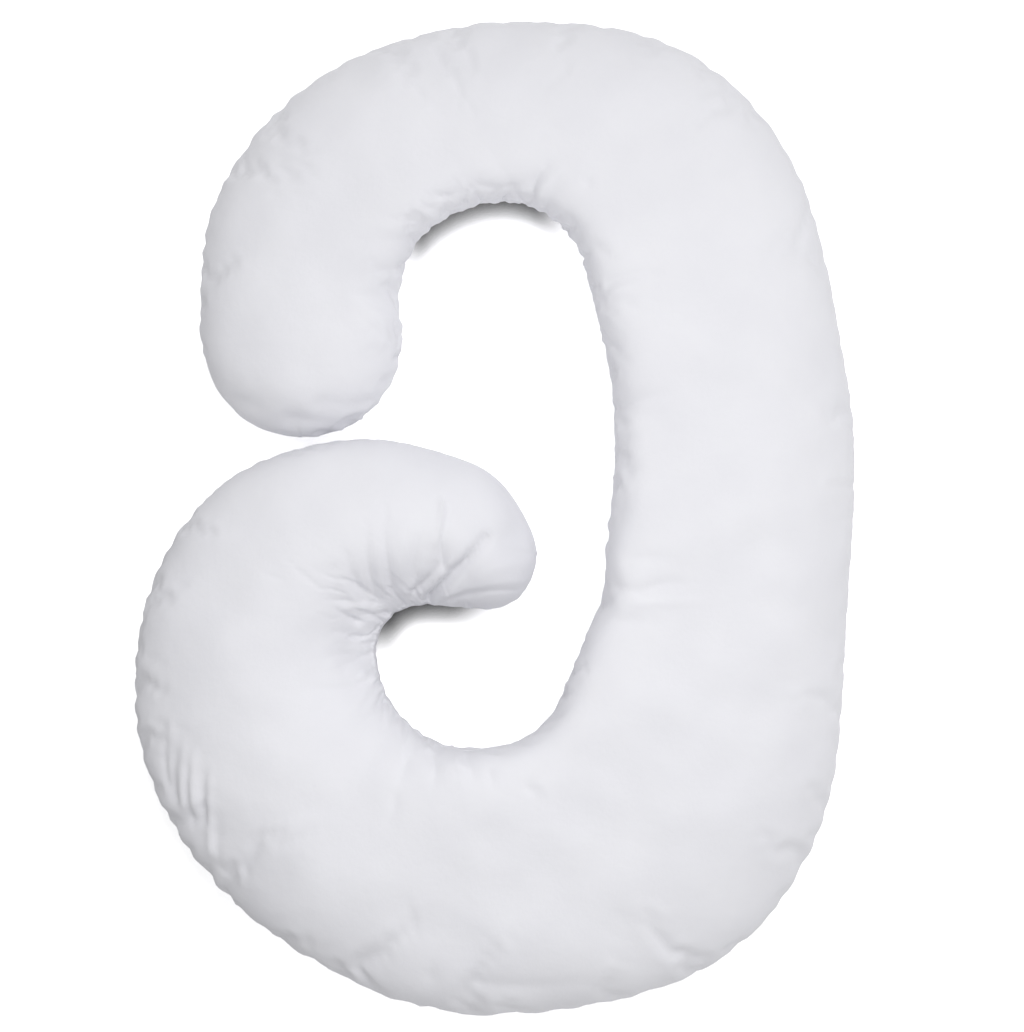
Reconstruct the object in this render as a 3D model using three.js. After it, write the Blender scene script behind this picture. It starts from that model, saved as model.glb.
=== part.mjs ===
// A full-body pregnancy pillow: one filled white cloth tube that lies curled like a C with an inward hook.
// Sizes are in millimetres, +Z is up, and the pillow rests on z = 0 with its bounding box centred on the origin.
import * as THREE from "three";

// The sewn outline, one row for each section across the tube, from the upper arm's end to the hook's end.
// outer and inner are the seam's two points there, and crown is the top's height over the floor.
const sections = [
  { outer: [-343, 131], inner: [-200, 132], crown: 118 },
  { outer: [-388, 176], inner: [-154, 178], crown: 134 },
  { outer: [-411, 241], inner: [-132, 241], crown: 147 },
  { outer: [-412, 305], inner: [-136, 304], crown: 154 },
  { outer: [-402, 409], inner: [-127, 349], crown: 160 },
  { outer: [-370, 483], inner: [-111, 384], crown: 163 },
  { outer: [-315, 556], inner: [-83, 409], crown: 166 },
  { outer: [-231, 623], inner: [-49, 428], crown: 168 },
  { outer: [-133, 665], inner: [-15, 438], crown: 170 },
  { outer: [-21, 689], inner: [15, 441], crown: 172 },
  { outer: [91, 690], inner: [46, 436], crown: 174 },
  { outer: [196, 676], inner: [74, 421], crown: 177 },
  { outer: [287, 637], inner: [99, 400], crown: 180 },
  { outer: [367, 566], inner: [119, 370], crown: 184 },
  { outer: [426, 472], inner: [133, 321], crown: 187 },
  { outer: [461, 357], inner: [147, 265], crown: 189 },
  { outer: [483, 241], inner: [161, 203], crown: 190 },
  { outer: [499, 136], inner: [168, 129], crown: 191 },
  { outer: [501, 31], inner: [167, 45], crown: 192 },
  { outer: [495, -74], inner: [157, -39], crown: 192 },
  { outer: [489, -172], inner: [151, -116], crown: 193 },
  { outer: [483, -270], inner: [125, -172], crown: 195 },
  { outer: [470, -375], inner: [104, -225], crown: 197 },
  { outer: [437, -470], inner: [80, -274], crown: 199 },
  { outer: [366, -573], inner: [46, -305], crown: 201 },
  { outer: [266, -641], inner: [13, -318], crown: 202 },
  { outer: [154, -675], inner: [-21, -322], crown: 202 },
  { outer: [35, -690], inner: [-55, -321], crown: 201 },
  { outer: [-84, -684], inner: [-87, -312], crown: 199 },
  { outer: [-196, -645], inner: [-115, -295], crown: 196 },
  { outer: [-294, -592], inner: [-139, -272], crown: 193 },
  { outer: [-382, -518], inner: [-155, -247], crown: 190 },
  { outer: [-452, -424], inner: [-165, -218], crown: 187 },
  { outer: [-493, -323], inner: [-169, -189], crown: 186 },
  { outer: [-501, -214], inner: [-163, -162], crown: 185 },
  { outer: [-484, -112], inner: [-150, -144], crown: 184 },
  { outer: [-438, -18], inner: [-134, -132], crown: 182 },
  { outer: [-367, 55], inner: [-116, -126], crown: 180 },
  { outer: [-273, 95], inner: [-95, -124], crown: 175 },
  { outer: [-168, 108], inner: [-68, -126], crown: 167 },
  { outer: [-70, 88], inner: [-38, -129], crown: 157 },
  { outer: [-6, 60], inner: [2, -129], crown: 145 },
  { outer: [33, 15], inner: [37, -111], crown: 130 },
];
const armTip = [-272, 113];
const hookTip = [59, -52];

// How the tube's two flanks stand at a few rows, each on a straight line between them.
// seam: the seam's height as a share of the crown's; round: a larger one keeps the top flat further out;
// gentle: a larger one brings the top down to the seam less steeply; tuck: how far in from the seam the underside
// meets the floor, as a share of the half width; steep: a smaller one drops the lower panel more steeply.
const flanks = {
  outer: [
    { row: 0, seam: 0.43, round: 2.3, gentle: 0.57, tuck: 0.4, steep: 0.58 },
    { row: 4, seam: 0.43, round: 1.7, gentle: 0.45, tuck: 0.4, steep: 0.58 },
    { row: 9, seam: 0.43, round: 1.8, gentle: 0.48, tuck: 0.4, steep: 0.58 },
    { row: 15, seam: 0.43, round: 2, gentle: 0.53, tuck: 0.4, steep: 0.58 },
    { row: 19, seam: 0.43, round: 1.6, gentle: 0.5, tuck: 0.4, steep: 0.58 },
    { row: 24, seam: 0.43, round: 2, gentle: 0.53, tuck: 0.4, steep: 0.58 },
    { row: 29, seam: 0.43, round: 3.2, gentle: 0.43, tuck: 0.4, steep: 0.58 },
    { row: 32, seam: 0.42, round: 1.4, gentle: 0.46, tuck: 0.4, steep: 0.58 },
    { row: 36, seam: 0.42, round: 1.3, gentle: 0.42, tuck: 0.4, steep: 0.58 },
    { row: 39, seam: 0.43, round: 1.8, gentle: 0.48, tuck: 0.4, steep: 0.58 },
    { row: 44, seam: 0.43, round: 2.4, gentle: 0.57, tuck: 0.4, steep: 0.58 },
  ],
  inner: [
    { row: 0, seam: 0.43, round: 2.4, gentle: 0.57, tuck: 0.4, steep: 0.58 },
    { row: 4, seam: 0.46, round: 2.9, gentle: 0.48, tuck: 0.38, steep: 0.56 },
    { row: 7, seam: 0.53, round: 5, gentle: 0.22, tuck: 0.36, steep: 0.56 },
    { row: 12, seam: 0.54, round: 5.5, gentle: 0.18, tuck: 0.36, steep: 0.56 },
    { row: 15, seam: 0.53, round: 6.5, gentle: 0.16, tuck: 0.4, steep: 0.58 },
    { row: 19, seam: 0.53, round: 6.5, gentle: 0.16, tuck: 0.4, steep: 0.58 },
    { row: 24, seam: 0.53, round: 6.5, gentle: 0.16, tuck: 0.4, steep: 0.58 },
    { row: 28, seam: 0.49, round: 5.5, gentle: 0.2, tuck: 0.4, steep: 0.58 },
    { row: 31, seam: 0.4, round: 2.6, gentle: 0.6, tuck: 0.3, steep: 0.52 },
    { row: 34, seam: 0.28, round: 2.2, gentle: 0.9, tuck: 0.2, steep: 0.45 },
    { row: 37, seam: 0.28, round: 1.9, gentle: 0.88, tuck: 0.2, steep: 0.45 },
    { row: 41, seam: 0.32, round: 2.2, gentle: 0.8, tuck: 0.25, steep: 0.5 },
    { row: 44, seam: 0.43, round: 2.4, gentle: 0.57, tuck: 0.4, steep: 0.58 },
  ],
};
// Each end closes over this length, measured along the tube from its tip, with a rounding of its own.
const capLength = 105;
const cap = { round: 2.3, gentle: 0.57, tuck: 0.4, steep: 0.58 };
// How round the lower panel is, from the seam down.
const underRound = 2;

// Steps of the mesh: along the tube, and over the top from seam to seam.
const stationStep = 14.5;
const capSteps = 9;
const topSteps = 16;
// Where the underside has its points on each side, as shares of the half width from the seam.
const underShares = [0.035, 0.11, 0.23, 0.42];

// Soft unevenness of the filling: waves in plan with their length and height.
const lumps = [
  { alongX: 0.9, alongY: 0.44, length: 265, height: 2.2 },
  { alongX: -0.5, alongY: 0.87, length: 190, height: 1.8 },
  { alongX: 0.25, alongY: -0.97, length: 330, height: 2 },
];

// Gathers along the seam. side -1 is the outer seam and 1 the inner one; from and to count rows of sections.
// Each gather pulls the seam in by depth and fades over reach, and pitch is their mean distance.
const gathers = [
  { side: -1, from: 0, to: 16, pitch: 62, depth: 3, reach: 45 },
  { side: -1, from: 16, to: 26, pitch: 95, depth: 2, reach: 40 },
  { side: -1, from: 26, to: 35, pitch: 78, depth: 4, reach: 50 },
  { side: -1, from: 35, to: 44, pitch: 85, depth: 2, reach: 40 },
  { side: 1, from: 0, to: 5, pitch: 38, depth: 3, reach: 40 },
  { side: 1, from: 5, to: 15, pitch: 30, depth: 5, reach: 55 },
  { side: 1, from: 15, to: 22, pitch: 46, depth: 4, reach: 50 },
  { side: 1, from: 22, to: 29, pitch: 34, depth: 3, reach: 70 },
  { side: 1, from: 29, to: 37, pitch: 26, depth: 4, reach: 50 },
  { side: 1, from: 37, to: 44, pitch: 44, depth: 3, reach: 30 },
];
// The spacing of gathers wanders by this share of a pitch, slowly.
const pitchWander = 0.28;
const wanderPitches = 1.7;
// Some gathers are weak and short, some strong and long: the least share, and the range over it.
const leastStrength = 0.45;
const strengthRange = 0.9;
const leastReach = 0.5;
const notchSharpness = 1.6;
const reachSharpness = 1.5;
// The underside's gathers fade faster than the top's.
const underFade = 2;

// Creases on the top, each from a point near the seam to where it fades out. Negative depth is a ridge.
const creases = [
  { from: [-88, -112], to: [-7, -28], width: 18, depth: 11 },
  { from: [-66, -134], to: [18, -46], width: 18, depth: -6 },
  { from: [-112, -100], to: [-82, -56], width: 15, depth: 7 },
  { from: [-76, 16], to: [-66, -64], width: 13, depth: 5 },
  { from: [-88, 18], to: [-84, -40], width: 12, depth: -4 },
  { from: [-153, 14], to: [-156, -42], width: 13, depth: 5 },
  { from: [-178, -30], to: [-172, -76], width: 13, depth: 5 },
  { from: [-206, -56], to: [-186, -102], width: 14, depth: 5 },
  { from: [-220, -130], to: [-176, -146], width: 12, depth: 6 },
  { from: [-256, -236], to: [-190, -252], width: 14, depth: 6 },
  { from: [-208, -268], to: [-150, -256], width: 14, depth: -5 },
  { from: [-40, -84], to: [12, -40], width: 20, depth: 5 },
  { from: [52, 450], to: [72, 488], width: 13, depth: 6 },
  { from: [66, 446], to: [92, 478], width: 15, depth: -3 },
  { from: [-18, 456], to: [54, 462], width: 14, depth: 7 },
  { from: [166, 322], to: [224, 344], width: 13, depth: 5 },
  { from: [178, 150], to: [238, 170], width: 15, depth: 5 },
  { from: [186, -56], to: [236, -52], width: 16, depth: 5 },
  { from: [206, -96], to: [262, -90], width: 16, depth: 6 },
  { from: [212, -122], to: [276, -120], width: 14, depth: -4 },
  { from: [-124, -342], to: [-136, -372], width: 12, depth: 5 },
  { from: [-87, -333], to: [-88, -374], width: 12, depth: 4 },
  { from: [-446, -306], to: [-442, -400], width: 20, depth: 4 },
  { from: [-400, -350], to: [-396, -436], width: 20, depth: 4 },
];
// A crease is felt out to this many widths, and loses this share of its depth at its far end.
const creaseSpread = 3;
const creaseLoss = 0.6;

// Corners of the closed seam line, in order: arm tip, outer seam, hook tip, inner seam back.
const corner = ([x, y]) => new THREE.Vector3(x, y, 0);
const loop = new THREE.CatmullRomCurve3(
  [
    corner(armTip),
    ...sections.map((row) => corner(row.outer)),
    corner(hookTip),
    ...[...sections].reverse().map((row) => corner(row.inner)),
  ],
  true,
  "centripetal",
);
const lastRow = sections.length + 1;
const loopRows = 2 * lastRow;

// The seam's outer and inner points at a row number, whole or between rows; both ends are tips.
const outerSeam = (row) => loop.getPoint(row / loopRows);
const innerSeam = (row) => loop.getPoint((loopRows - row) / loopRows);
const middle = (row) => outerSeam(row).lerp(innerSeam(row), 0.5);

// The crown's height at a row number, on a straight line between rows.
function crownAt(row) {
  const place = THREE.MathUtils.clamp(row - 1, 0, sections.length - 1);
  const low = Math.min(Math.floor(place), sections.length - 2);
  return THREE.MathUtils.lerp(sections[low].crown, sections[low + 1].crown, place - low);
}

// Distances along the tube's middle line and along both seams, at even fractions of a row.
const samplesPerRow = 24;
const samples = [{ row: 0, distance: 0, outer: 0, inner: 0 }];
for (let i = 1; i <= lastRow * samplesPerRow; i++) {
  const row = i / samplesPerRow;
  const last = samples[i - 1];
  samples.push({
    row,
    distance: last.distance + middle(row).distanceTo(middle(last.row)),
    outer: last.outer + outerSeam(row).distanceTo(outerSeam(last.row)),
    inner: last.inner + innerSeam(row).distanceTo(innerSeam(last.row)),
  });
}
const tubeLength = samples[samples.length - 1].distance;

// Finds one column's value where another column has the value given; every column grows down the samples.
function lookUp(wanted, known, value) {
  const next = samples.findIndex((sample) => sample[known] >= value);
  if (next < 0) return samples[samples.length - 1][wanted];
  if (next === 0) return samples[0][wanted];
  const before = samples[next - 1];
  const after = samples[next];
  return THREE.MathUtils.mapLinear(value, before[known], after[known], before[wanted], after[wanted]);
}

// Repeatable noise from 0 to 1 for a whole number; another salt gives another row of numbers.
const noiseStride = 127.1;
const noiseSaltStride = 311.7;
const noiseScale = 43758.5453;
function chance(number, salt) {
  const wave = Math.sin(number * noiseStride + salt * noiseSaltStride) * noiseScale;
  return wave - Math.floor(wave);
}

// How far the gathers pull the cloth in at a row, on one side, a distance away from the seam.
function gatherDepth(row, side, away) {
  const along = lookUp(side < 0 ? "outer" : "inner", "row", row);
  let depth = 0;
  gathers.forEach((zone, number) => {
    if (zone.side !== side || row < zone.from || row >= zone.to) return;
    const wander = pitchWander * Math.sin(along / (wanderPitches * zone.pitch) + number);
    const phase = along / zone.pitch + wander;
    const valley = Math.round(phase);
    const strength = leastStrength + strengthRange * chance(valley, number);
    const reach = zone.reach * (leastReach + chance(valley, number + gathers.length));
    const notch = (1 - Math.abs(Math.sin(Math.PI * phase))) ** notchSharpness;
    depth += zone.depth * strength * notch * Math.exp(-((away / reach) ** reachSharpness));
  });
  return depth;
}

// How deep the creases are at a point of the top, in plan.
function creaseDepth(point) {
  let depth = 0;
  for (const crease of creases) {
    const start = new THREE.Vector2(...crease.from);
    const run = new THREE.Vector2(...crease.to).sub(start);
    const offset = new THREE.Vector2(point.x, point.y).sub(start);
    const share = THREE.MathUtils.clamp(offset.dot(run) / run.lengthSq(), 0, 1);
    const gap = offset.distanceTo(run.multiplyScalar(share));
    if (gap > creaseSpread * crease.width) continue;
    depth += crease.depth * (1 - creaseLoss * share) * Math.exp(-((gap / crease.width) ** 2));
  }
  return depth;
}

// How high the filling's waves stand at a point of the top, in plan.
function swellAt(point) {
  let swell = 0;
  for (const lump of lumps) {
    const travel = lump.alongX * point.x + lump.alongY * point.y;
    swell += lump.height * Math.sin((2 * Math.PI * travel) / lump.length);
  }
  return swell;
}

// How far the top has risen, or the underside has fallen, from the seam: 0 to 1, a share of the way in from it.
const rise = (share, shape) => (1 - (1 - share) ** shape.round) ** shape.gentle;
const fall = (share, shape) => (1 - (1 - Math.min(share / shape.tuck, 1)) ** underRound) ** shape.steep;

// The flank's shape at a row, whole or between rows, on one side.
function flankAt(row, side) {
  const table = side < 0 ? flanks.outer : flanks.inner;
  const next = Math.max(1, table.findIndex((line) => line.row >= row));
  const before = table[next - 1];
  const after = table[next];
  const between = (name) => THREE.MathUtils.mapLinear(row, before.row, after.row, before[name], after[name]);
  return Object.fromEntries(Object.keys(before).map((name) => [name, between(name)]));
}

// A point of the smooth pillow: row along the tube, across from -1 at the outer seam to 1 at the inner one.
function smoothPoint(row, across, onTop) {
  const point = outerSeam(row).lerp(innerSeam(row), (across + 1) / 2);
  const flank = flankAt(row, across);
  const distance = lookUp("distance", "row", row);
  const fromTip = Math.min(distance, tubeLength - distance, capLength) / capLength;
  const inward = 1 - Math.abs(across);
  const crown = crownAt(row);
  const seam = flank.seam * crown;
  const up = (crown - seam + swellAt(point)) * rise(inward, flank) * rise(fromTip, cap);
  const down = seam * fall(inward, flank) * fall(fromTip, cap);
  point.z = onTop ? seam + up : seam - down;
  return point;
}

// The top's outward normal at a point, from two short steps over the smooth pillow.
const rowStep = 0.02;
const acrossStep = 0.004;
function topNormal(row, across) {
  const near = THREE.MathUtils.clamp(across, acrossStep - 1, 1 - acrossStep);
  const lowRow = Math.max(row - rowStep, rowStep);
  const highRow = Math.min(row + rowStep, lastRow - rowStep);
  const along = smoothPoint(highRow, near, true).sub(smoothPoint(lowRow, near, true));
  const over = smoothPoint(row, near + acrossStep, true).sub(smoothPoint(row, near - acrossStep, true));
  const normal = along.cross(over).normalize();
  return normal.z < 0 ? normal.negate() : normal;
}

// A point of the finished pillow: the smooth one, drawn in by its gathers and creases.
function finishedPoint(row, across, onTop) {
  const point = smoothPoint(row, across, onTop);
  const side = across < 0 ? -1 : 1;
  const flank = flankAt(row, side);
  const inward = 1 - Math.abs(across);
  const away = (inward * outerSeam(row).distanceTo(innerSeam(row))) / 2;
  const outward = innerSeam(row).sub(outerSeam(row)).normalize().multiplyScalar(side);
  if (!onTop) {
    const height = point.z / (flank.seam * crownAt(row));
    return point.addScaledVector(outward, -height * gatherDepth(row, side, underFade * away));
  }
  const normal = topNormal(row, across);
  const pull = normal.clone().lerp(outward, 1 - rise(inward, flank) ** 2).normalize();
  const crease = creaseDepth(point);
  return point.addScaledVector(pull, -gatherDepth(row, side, away)).addScaledVector(normal, -crease);
}

// Rows at which the mesh has a ring: close together in the caps, and even between them.
function stationRows() {
  const nearCap = [];
  for (let i = 1; i <= capSteps; i++) {
    nearCap.push(capLength * (1 - Math.cos((i * Math.PI) / (2 * capSteps))));
  }
  const farCap = nearCap.map((distance) => tubeLength - distance).reverse();
  const bodySteps = Math.round((tubeLength - 2 * capLength) / stationStep);
  const body = [];
  for (let i = 1; i < bodySteps; i++) {
    body.push(THREE.MathUtils.lerp(capLength, tubeLength - capLength, i / bodySteps));
  }
  return [...nearCap, ...body, ...farCap].map((distance) => lookUp("row", "distance", distance));
}

// One ring of the mesh: over the top from the outer seam to the inner one, then back underneath.
function ring(row) {
  const points = [];
  for (let j = 0; j <= topSteps; j++) {
    points.push(finishedPoint(row, -Math.cos((Math.PI * j) / topSteps), true));
  }
  for (const share of underShares) {
    points.push(finishedPoint(row, 1 - share, false));
  }
  for (const share of [...underShares].reverse()) {
    points.push(finishedPoint(row, share - 1, false));
  }
  return points;
}

// The point where an end of the tube closes.
function tipPoint(row) {
  const point = middle(row);
  point.z = flankAt(row, -1).seam * crownAt(row);
  return point;
}

// The two triangles of a four-sided face, cut along its shorter diagonal.
function quad(points, a, b, c, d) {
  const cutFromA = points[a].distanceTo(points[c]) < points[b].distanceTo(points[d]);
  return cutFromA ? [a, c, d, a, b, c] : [a, b, d, b, c, d];
}

// The closed skin: rings joined by triangles, with a point at each tip.
function pillowGeometry() {
  const rings = stationRows().map(ring);
  const around = rings[0].length;
  const points = [tipPoint(0), ...rings.flat(), tipPoint(lastRow)];
  const at = (i, j) => 1 + i * around + (j % around);
  const far = points.length - 1;
  const faces = [];
  for (let j = 0; j < around; j++) {
    faces.push(0, at(0, j + 1), at(0, j));
    faces.push(far, at(rings.length - 1, j), at(rings.length - 1, j + 1));
    for (let i = 0; i + 1 < rings.length; i++) {
      faces.push(...quad(points, at(i, j), at(i, j + 1), at(i + 1, j + 1), at(i + 1, j)));
    }
  }
  const geometry = new THREE.BufferGeometry().setFromPoints(points);
  geometry.setIndex(faces);
  geometry.computeBoundingBox();
  const centre = geometry.boundingBox.getCenter(new THREE.Vector3());
  return geometry.translate(-centre.x, -centre.y, -geometry.boundingBox.min.z);
}

const cotton = new THREE.MeshStandardMaterial({ color: 0xe6e5ea, roughness: 0.9, metalness: 0 });
const pillow = new THREE.Mesh(pillowGeometry(), cotton);
pillow.name = "pillow";

const part = new THREE.Group();
part.add(pillow);
export default part;
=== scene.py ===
# The look of a full-body pregnancy pillow: its cotton skin, its folds, the floor, the light and the camera.
# Lengths in the tables are millimetres in the CAD's frame, and everything handed to Blender is in metres.
import math

import bpy
import numpy as np
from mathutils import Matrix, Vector


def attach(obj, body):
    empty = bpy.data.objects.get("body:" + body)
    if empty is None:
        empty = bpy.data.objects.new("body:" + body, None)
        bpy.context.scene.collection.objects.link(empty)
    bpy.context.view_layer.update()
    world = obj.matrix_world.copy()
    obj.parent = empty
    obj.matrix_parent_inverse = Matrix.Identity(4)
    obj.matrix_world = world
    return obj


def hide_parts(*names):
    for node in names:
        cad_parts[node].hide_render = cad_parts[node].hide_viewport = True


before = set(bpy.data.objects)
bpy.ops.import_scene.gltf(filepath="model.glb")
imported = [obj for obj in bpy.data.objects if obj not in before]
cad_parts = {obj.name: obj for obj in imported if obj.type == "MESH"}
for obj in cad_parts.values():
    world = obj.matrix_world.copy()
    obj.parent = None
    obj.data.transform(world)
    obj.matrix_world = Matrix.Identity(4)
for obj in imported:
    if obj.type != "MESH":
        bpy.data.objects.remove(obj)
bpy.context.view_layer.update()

MM = 0.001

# The sewn outline, from the upper arm's end to the hook's end, as in the CAD.
# Columns: the outer seam's x and y, the inner seam's x and y, and the crown's height over the floor.
SECTIONS = np.array([
    (-343, 131, -200, 132, 118),
    (-388, 176, -154, 178, 134),
    (-411, 241, -132, 241, 147),
    (-412, 305, -136, 304, 154),
    (-402, 409, -127, 349, 160),
    (-370, 483, -111, 384, 163),
    (-315, 556, -83, 409, 166),
    (-231, 623, -49, 428, 168),
    (-133, 665, -15, 438, 170),
    (-21, 689, 15, 441, 172),
    (91, 690, 46, 436, 174),
    (196, 676, 74, 421, 177),
    (287, 637, 99, 400, 180),
    (367, 566, 119, 370, 184),
    (426, 472, 133, 321, 187),
    (461, 357, 147, 265, 189),
    (483, 241, 161, 203, 190),
    (499, 136, 168, 129, 191),
    (501, 31, 167, 45, 192),
    (495, -74, 157, -39, 192),
    (489, -172, 151, -116, 193),
    (483, -270, 125, -172, 195),
    (470, -375, 104, -225, 197),
    (437, -470, 80, -274, 199),
    (366, -573, 46, -305, 201),
    (266, -641, 13, -318, 202),
    (154, -675, -21, -322, 202),
    (35, -690, -55, -321, 201),
    (-84, -684, -87, -312, 199),
    (-196, -645, -115, -295, 196),
    (-294, -592, -139, -272, 193),
    (-382, -518, -155, -247, 190),
    (-452, -424, -165, -218, 187),
    (-493, -323, -169, -189, 186),
    (-501, -214, -163, -162, 185),
    (-484, -112, -150, -144, 184),
    (-438, -18, -134, -132, 182),
    (-367, 55, -116, -126, 180),
    (-273, 95, -95, -124, 175),
    (-168, 108, -68, -126, 167),
    (-70, 88, -38, -129, 157),
    (-6, 60, 2, -129, 145),
    (33, 15, 37, -111, 130),
], dtype=float)
ARM_TIP = (-272, 113)
HOOK_TIP = (59, -52)

# The smooth section, as in the CAD. How its two flanks stand at a few rows, for the outer and the inner seam.
# Columns: row, the seam's height as a share of the crown's, how round the flank of the top is, how gently the
# top comes to the seam, how far in the underside meets the floor as a share of the half width, and how steeply.
OUTER_FLANK = np.array([
    (0, 0.43, 2.3, 0.57, 0.40, 0.58),
    (4, 0.43, 1.7, 0.45, 0.40, 0.58),
    (9, 0.43, 1.8, 0.48, 0.40, 0.58),
    (15, 0.43, 2.0, 0.53, 0.40, 0.58),
    (19, 0.43, 1.6, 0.50, 0.40, 0.58),
    (24, 0.43, 2.0, 0.53, 0.40, 0.58),
    (29, 0.43, 3.2, 0.43, 0.40, 0.58),
    (32, 0.42, 1.4, 0.46, 0.40, 0.58),
    (36, 0.42, 1.3, 0.42, 0.40, 0.58),
    (39, 0.43, 1.8, 0.48, 0.40, 0.58),
    (44, 0.43, 2.4, 0.57, 0.40, 0.58),
])
INNER_FLANK = np.array([
    (0, 0.43, 2.4, 0.57, 0.40, 0.58),
    (4, 0.46, 2.9, 0.48, 0.38, 0.56),
    (7, 0.53, 5.0, 0.22, 0.36, 0.56),
    (12, 0.54, 5.5, 0.18, 0.36, 0.56),
    (15, 0.53, 6.5, 0.16, 0.40, 0.58),
    (19, 0.53, 6.5, 0.16, 0.40, 0.58),
    (24, 0.53, 6.5, 0.16, 0.40, 0.58),
    (28, 0.49, 5.5, 0.20, 0.40, 0.58),
    (31, 0.40, 2.6, 0.60, 0.30, 0.52),
    (34, 0.28, 2.2, 0.90, 0.20, 0.45),
    (37, 0.28, 1.9, 0.88, 0.20, 0.45),
    (41, 0.32, 2.2, 0.80, 0.25, 0.50),
    (44, 0.43, 2.4, 0.57, 0.40, 0.58),
])
# Each end closes over this length, the top and the underside each by a curve of its own.
CAP_LENGTH = 105
CAP_POWER = 2.3
CAP_PINCH = 0.57
CAP_UNDER_SHARE = 0.4
CAP_UNDER_PINCH = 0.58
# Slow waves of the filling on the top: their direction in plan, their length and how high they stand.
LUMPS = [
    {"along": (0.9, 0.44), "length": 265, "height": 2.2},
    {"along": (-0.5, 0.87), "length": 190, "height": 1.8},
    {"along": (0.25, -0.97), "length": 330, "height": 2.0},
]

# The skin's grid: steps along the tube, and round it on each flank of the top and of the underside.
STATIONS = 755
CAP_STEPS = 24
FLANK_STEPS = 50
UNDER_STEPS = 14
# Steps along the tube at a few rows, before they are brought to the number of stations.
STEPS_ALONG = np.array([
    (0, 3.6), (4, 4.6), (6, 3.6), (13, 3.6), (15, 5.0), (28, 4.6), (34, 3.4), (38, 2.4), (44, 2.2),
])
# Near the seam the steps round the tube are this share of their mean.
SEAM_CROWDING = 0.25
# Underneath, the steps crowd at the seam by this power, and each flank is measured at this many points.
UNDER_CROWDING = 1.3
MEASURED_POINTS = 241

LAST_ROW = len(SECTIONS) + 1
LOOP = np.concatenate([[ARM_TIP], SECTIONS[:, 0:2], [HOOK_TIP], SECTIONS[::-1, 2:4]])


def seam_point(turn):
    """Points of the closed seam line, a centripetal Catmull-Rom curve, at places counted in its corners."""
    count = len(LOOP)
    start = np.floor(turn).astype(int)
    p0, p1, p2, p3 = (LOOP[(start + k) % count] for k in (-1, 0, 1, 2))
    legs = (p1 - p0, p2 - p1, p3 - p2)
    gap0, gap1, gap2 = (np.linalg.norm(leg, axis=-1)[..., None] ** 0.5 for leg in legs)
    slope1 = ((p1 - p0) / gap0 - (p2 - p0) / (gap0 + gap1) + (p2 - p1) / gap1) * gap1
    slope2 = ((p2 - p1) / gap1 - (p3 - p1) / (gap1 + gap2) + (p3 - p2) / gap2) * gap1
    t = (turn - start)[..., None]
    square = 3 * (p2 - p1) - 2 * slope1 - slope2
    cube = 2 * (p1 - p2) + slope1 + slope2
    return p1 + slope1 * t + square * t ** 2 + cube * t ** 3


def outer_seam(row):
    return seam_point(row)


def inner_seam(row):
    return seam_point(2 * LAST_ROW - row)


def crown_at(row):
    return np.interp(row, np.arange(1, LAST_ROW), SECTIONS[:, 4])


def travelled(points):
    """Distance along a line of points, from its start."""
    steps = np.linalg.norm(np.diff(points, axis=0), axis=1)
    return np.concatenate([[0.0], np.cumsum(steps)])


STEPS_A_ROW = 24
ROWS = np.linspace(0, LAST_ROW, STEPS_A_ROW * LAST_ROW + 1)
OUTER_LENGTH = travelled(outer_seam(ROWS))
INNER_LENGTH = travelled(inner_seam(ROWS))
MIDDLE_LENGTH = travelled((outer_seam(ROWS) + inner_seam(ROWS)) / 2)
TUBE_LENGTH = MIDDLE_LENGTH[-1]


def rise(share, power, pinch):
    """How far a flank has risen from the seam, 0 to 1, a share of the way in from it."""
    return (1 - (1 - share) ** power) ** pinch


def under_fall(share, reach, pinch):
    """How far the underside has come down from the seam, 0 to 1, a share of the way in from it."""
    return (1 - (1 - np.minimum(share / reach, 1)) ** 2) ** pinch


def flank_at(row, across):
    """The flanks' five columns at each row and side."""
    return (
        np.where(across < 0, np.interp(row, OUTER_FLANK[:, 0], OUTER_FLANK[:, column]),
                 np.interp(row, INNER_FLANK[:, 0], INNER_FLANK[:, column]))
        for column in range(1, 6)
    )


def swell_at(x, y):
    """How high the filling's slow waves stand, in plan."""
    swell = np.zeros_like(x)
    for lump in LUMPS:
        travel = lump["along"][0] * x + lump["along"][1] * y
        swell += lump["height"] * np.sin(2 * math.pi * travel / lump["length"])
    return swell


def smooth_points(row, across, on_top):
    """Points of the smooth pillow: row along the tube, and across, -1 at the outer seam and 1 at the inner."""
    plan = outer_seam(row) + (inner_seam(row) - outer_seam(row)) * ((across + 1) / 2)[..., None]
    distance = np.interp(row, ROWS, MIDDLE_LENGTH)
    from_tip = np.minimum(np.minimum(distance, TUBE_LENGTH - distance), CAP_LENGTH) / CAP_LENGTH
    inward = 1 - np.abs(across)
    crown = crown_at(row)
    seam_share, power, pinch, reach, under_pinch = flank_at(row, across)
    seam = seam_share * crown
    if on_top:
        height = crown - seam + swell_at(plan[..., 0], plan[..., 1])
        z = seam + height * rise(inward, power, pinch) * rise(from_tip, CAP_POWER, CAP_PINCH)
    else:
        fallen = under_fall(inward, reach, under_pinch) * under_fall(from_tip, CAP_UNDER_SHARE, CAP_UNDER_PINCH)
        z = seam * (1 - fallen)
    return np.concatenate([plan, z[..., None]], axis=-1)


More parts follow.
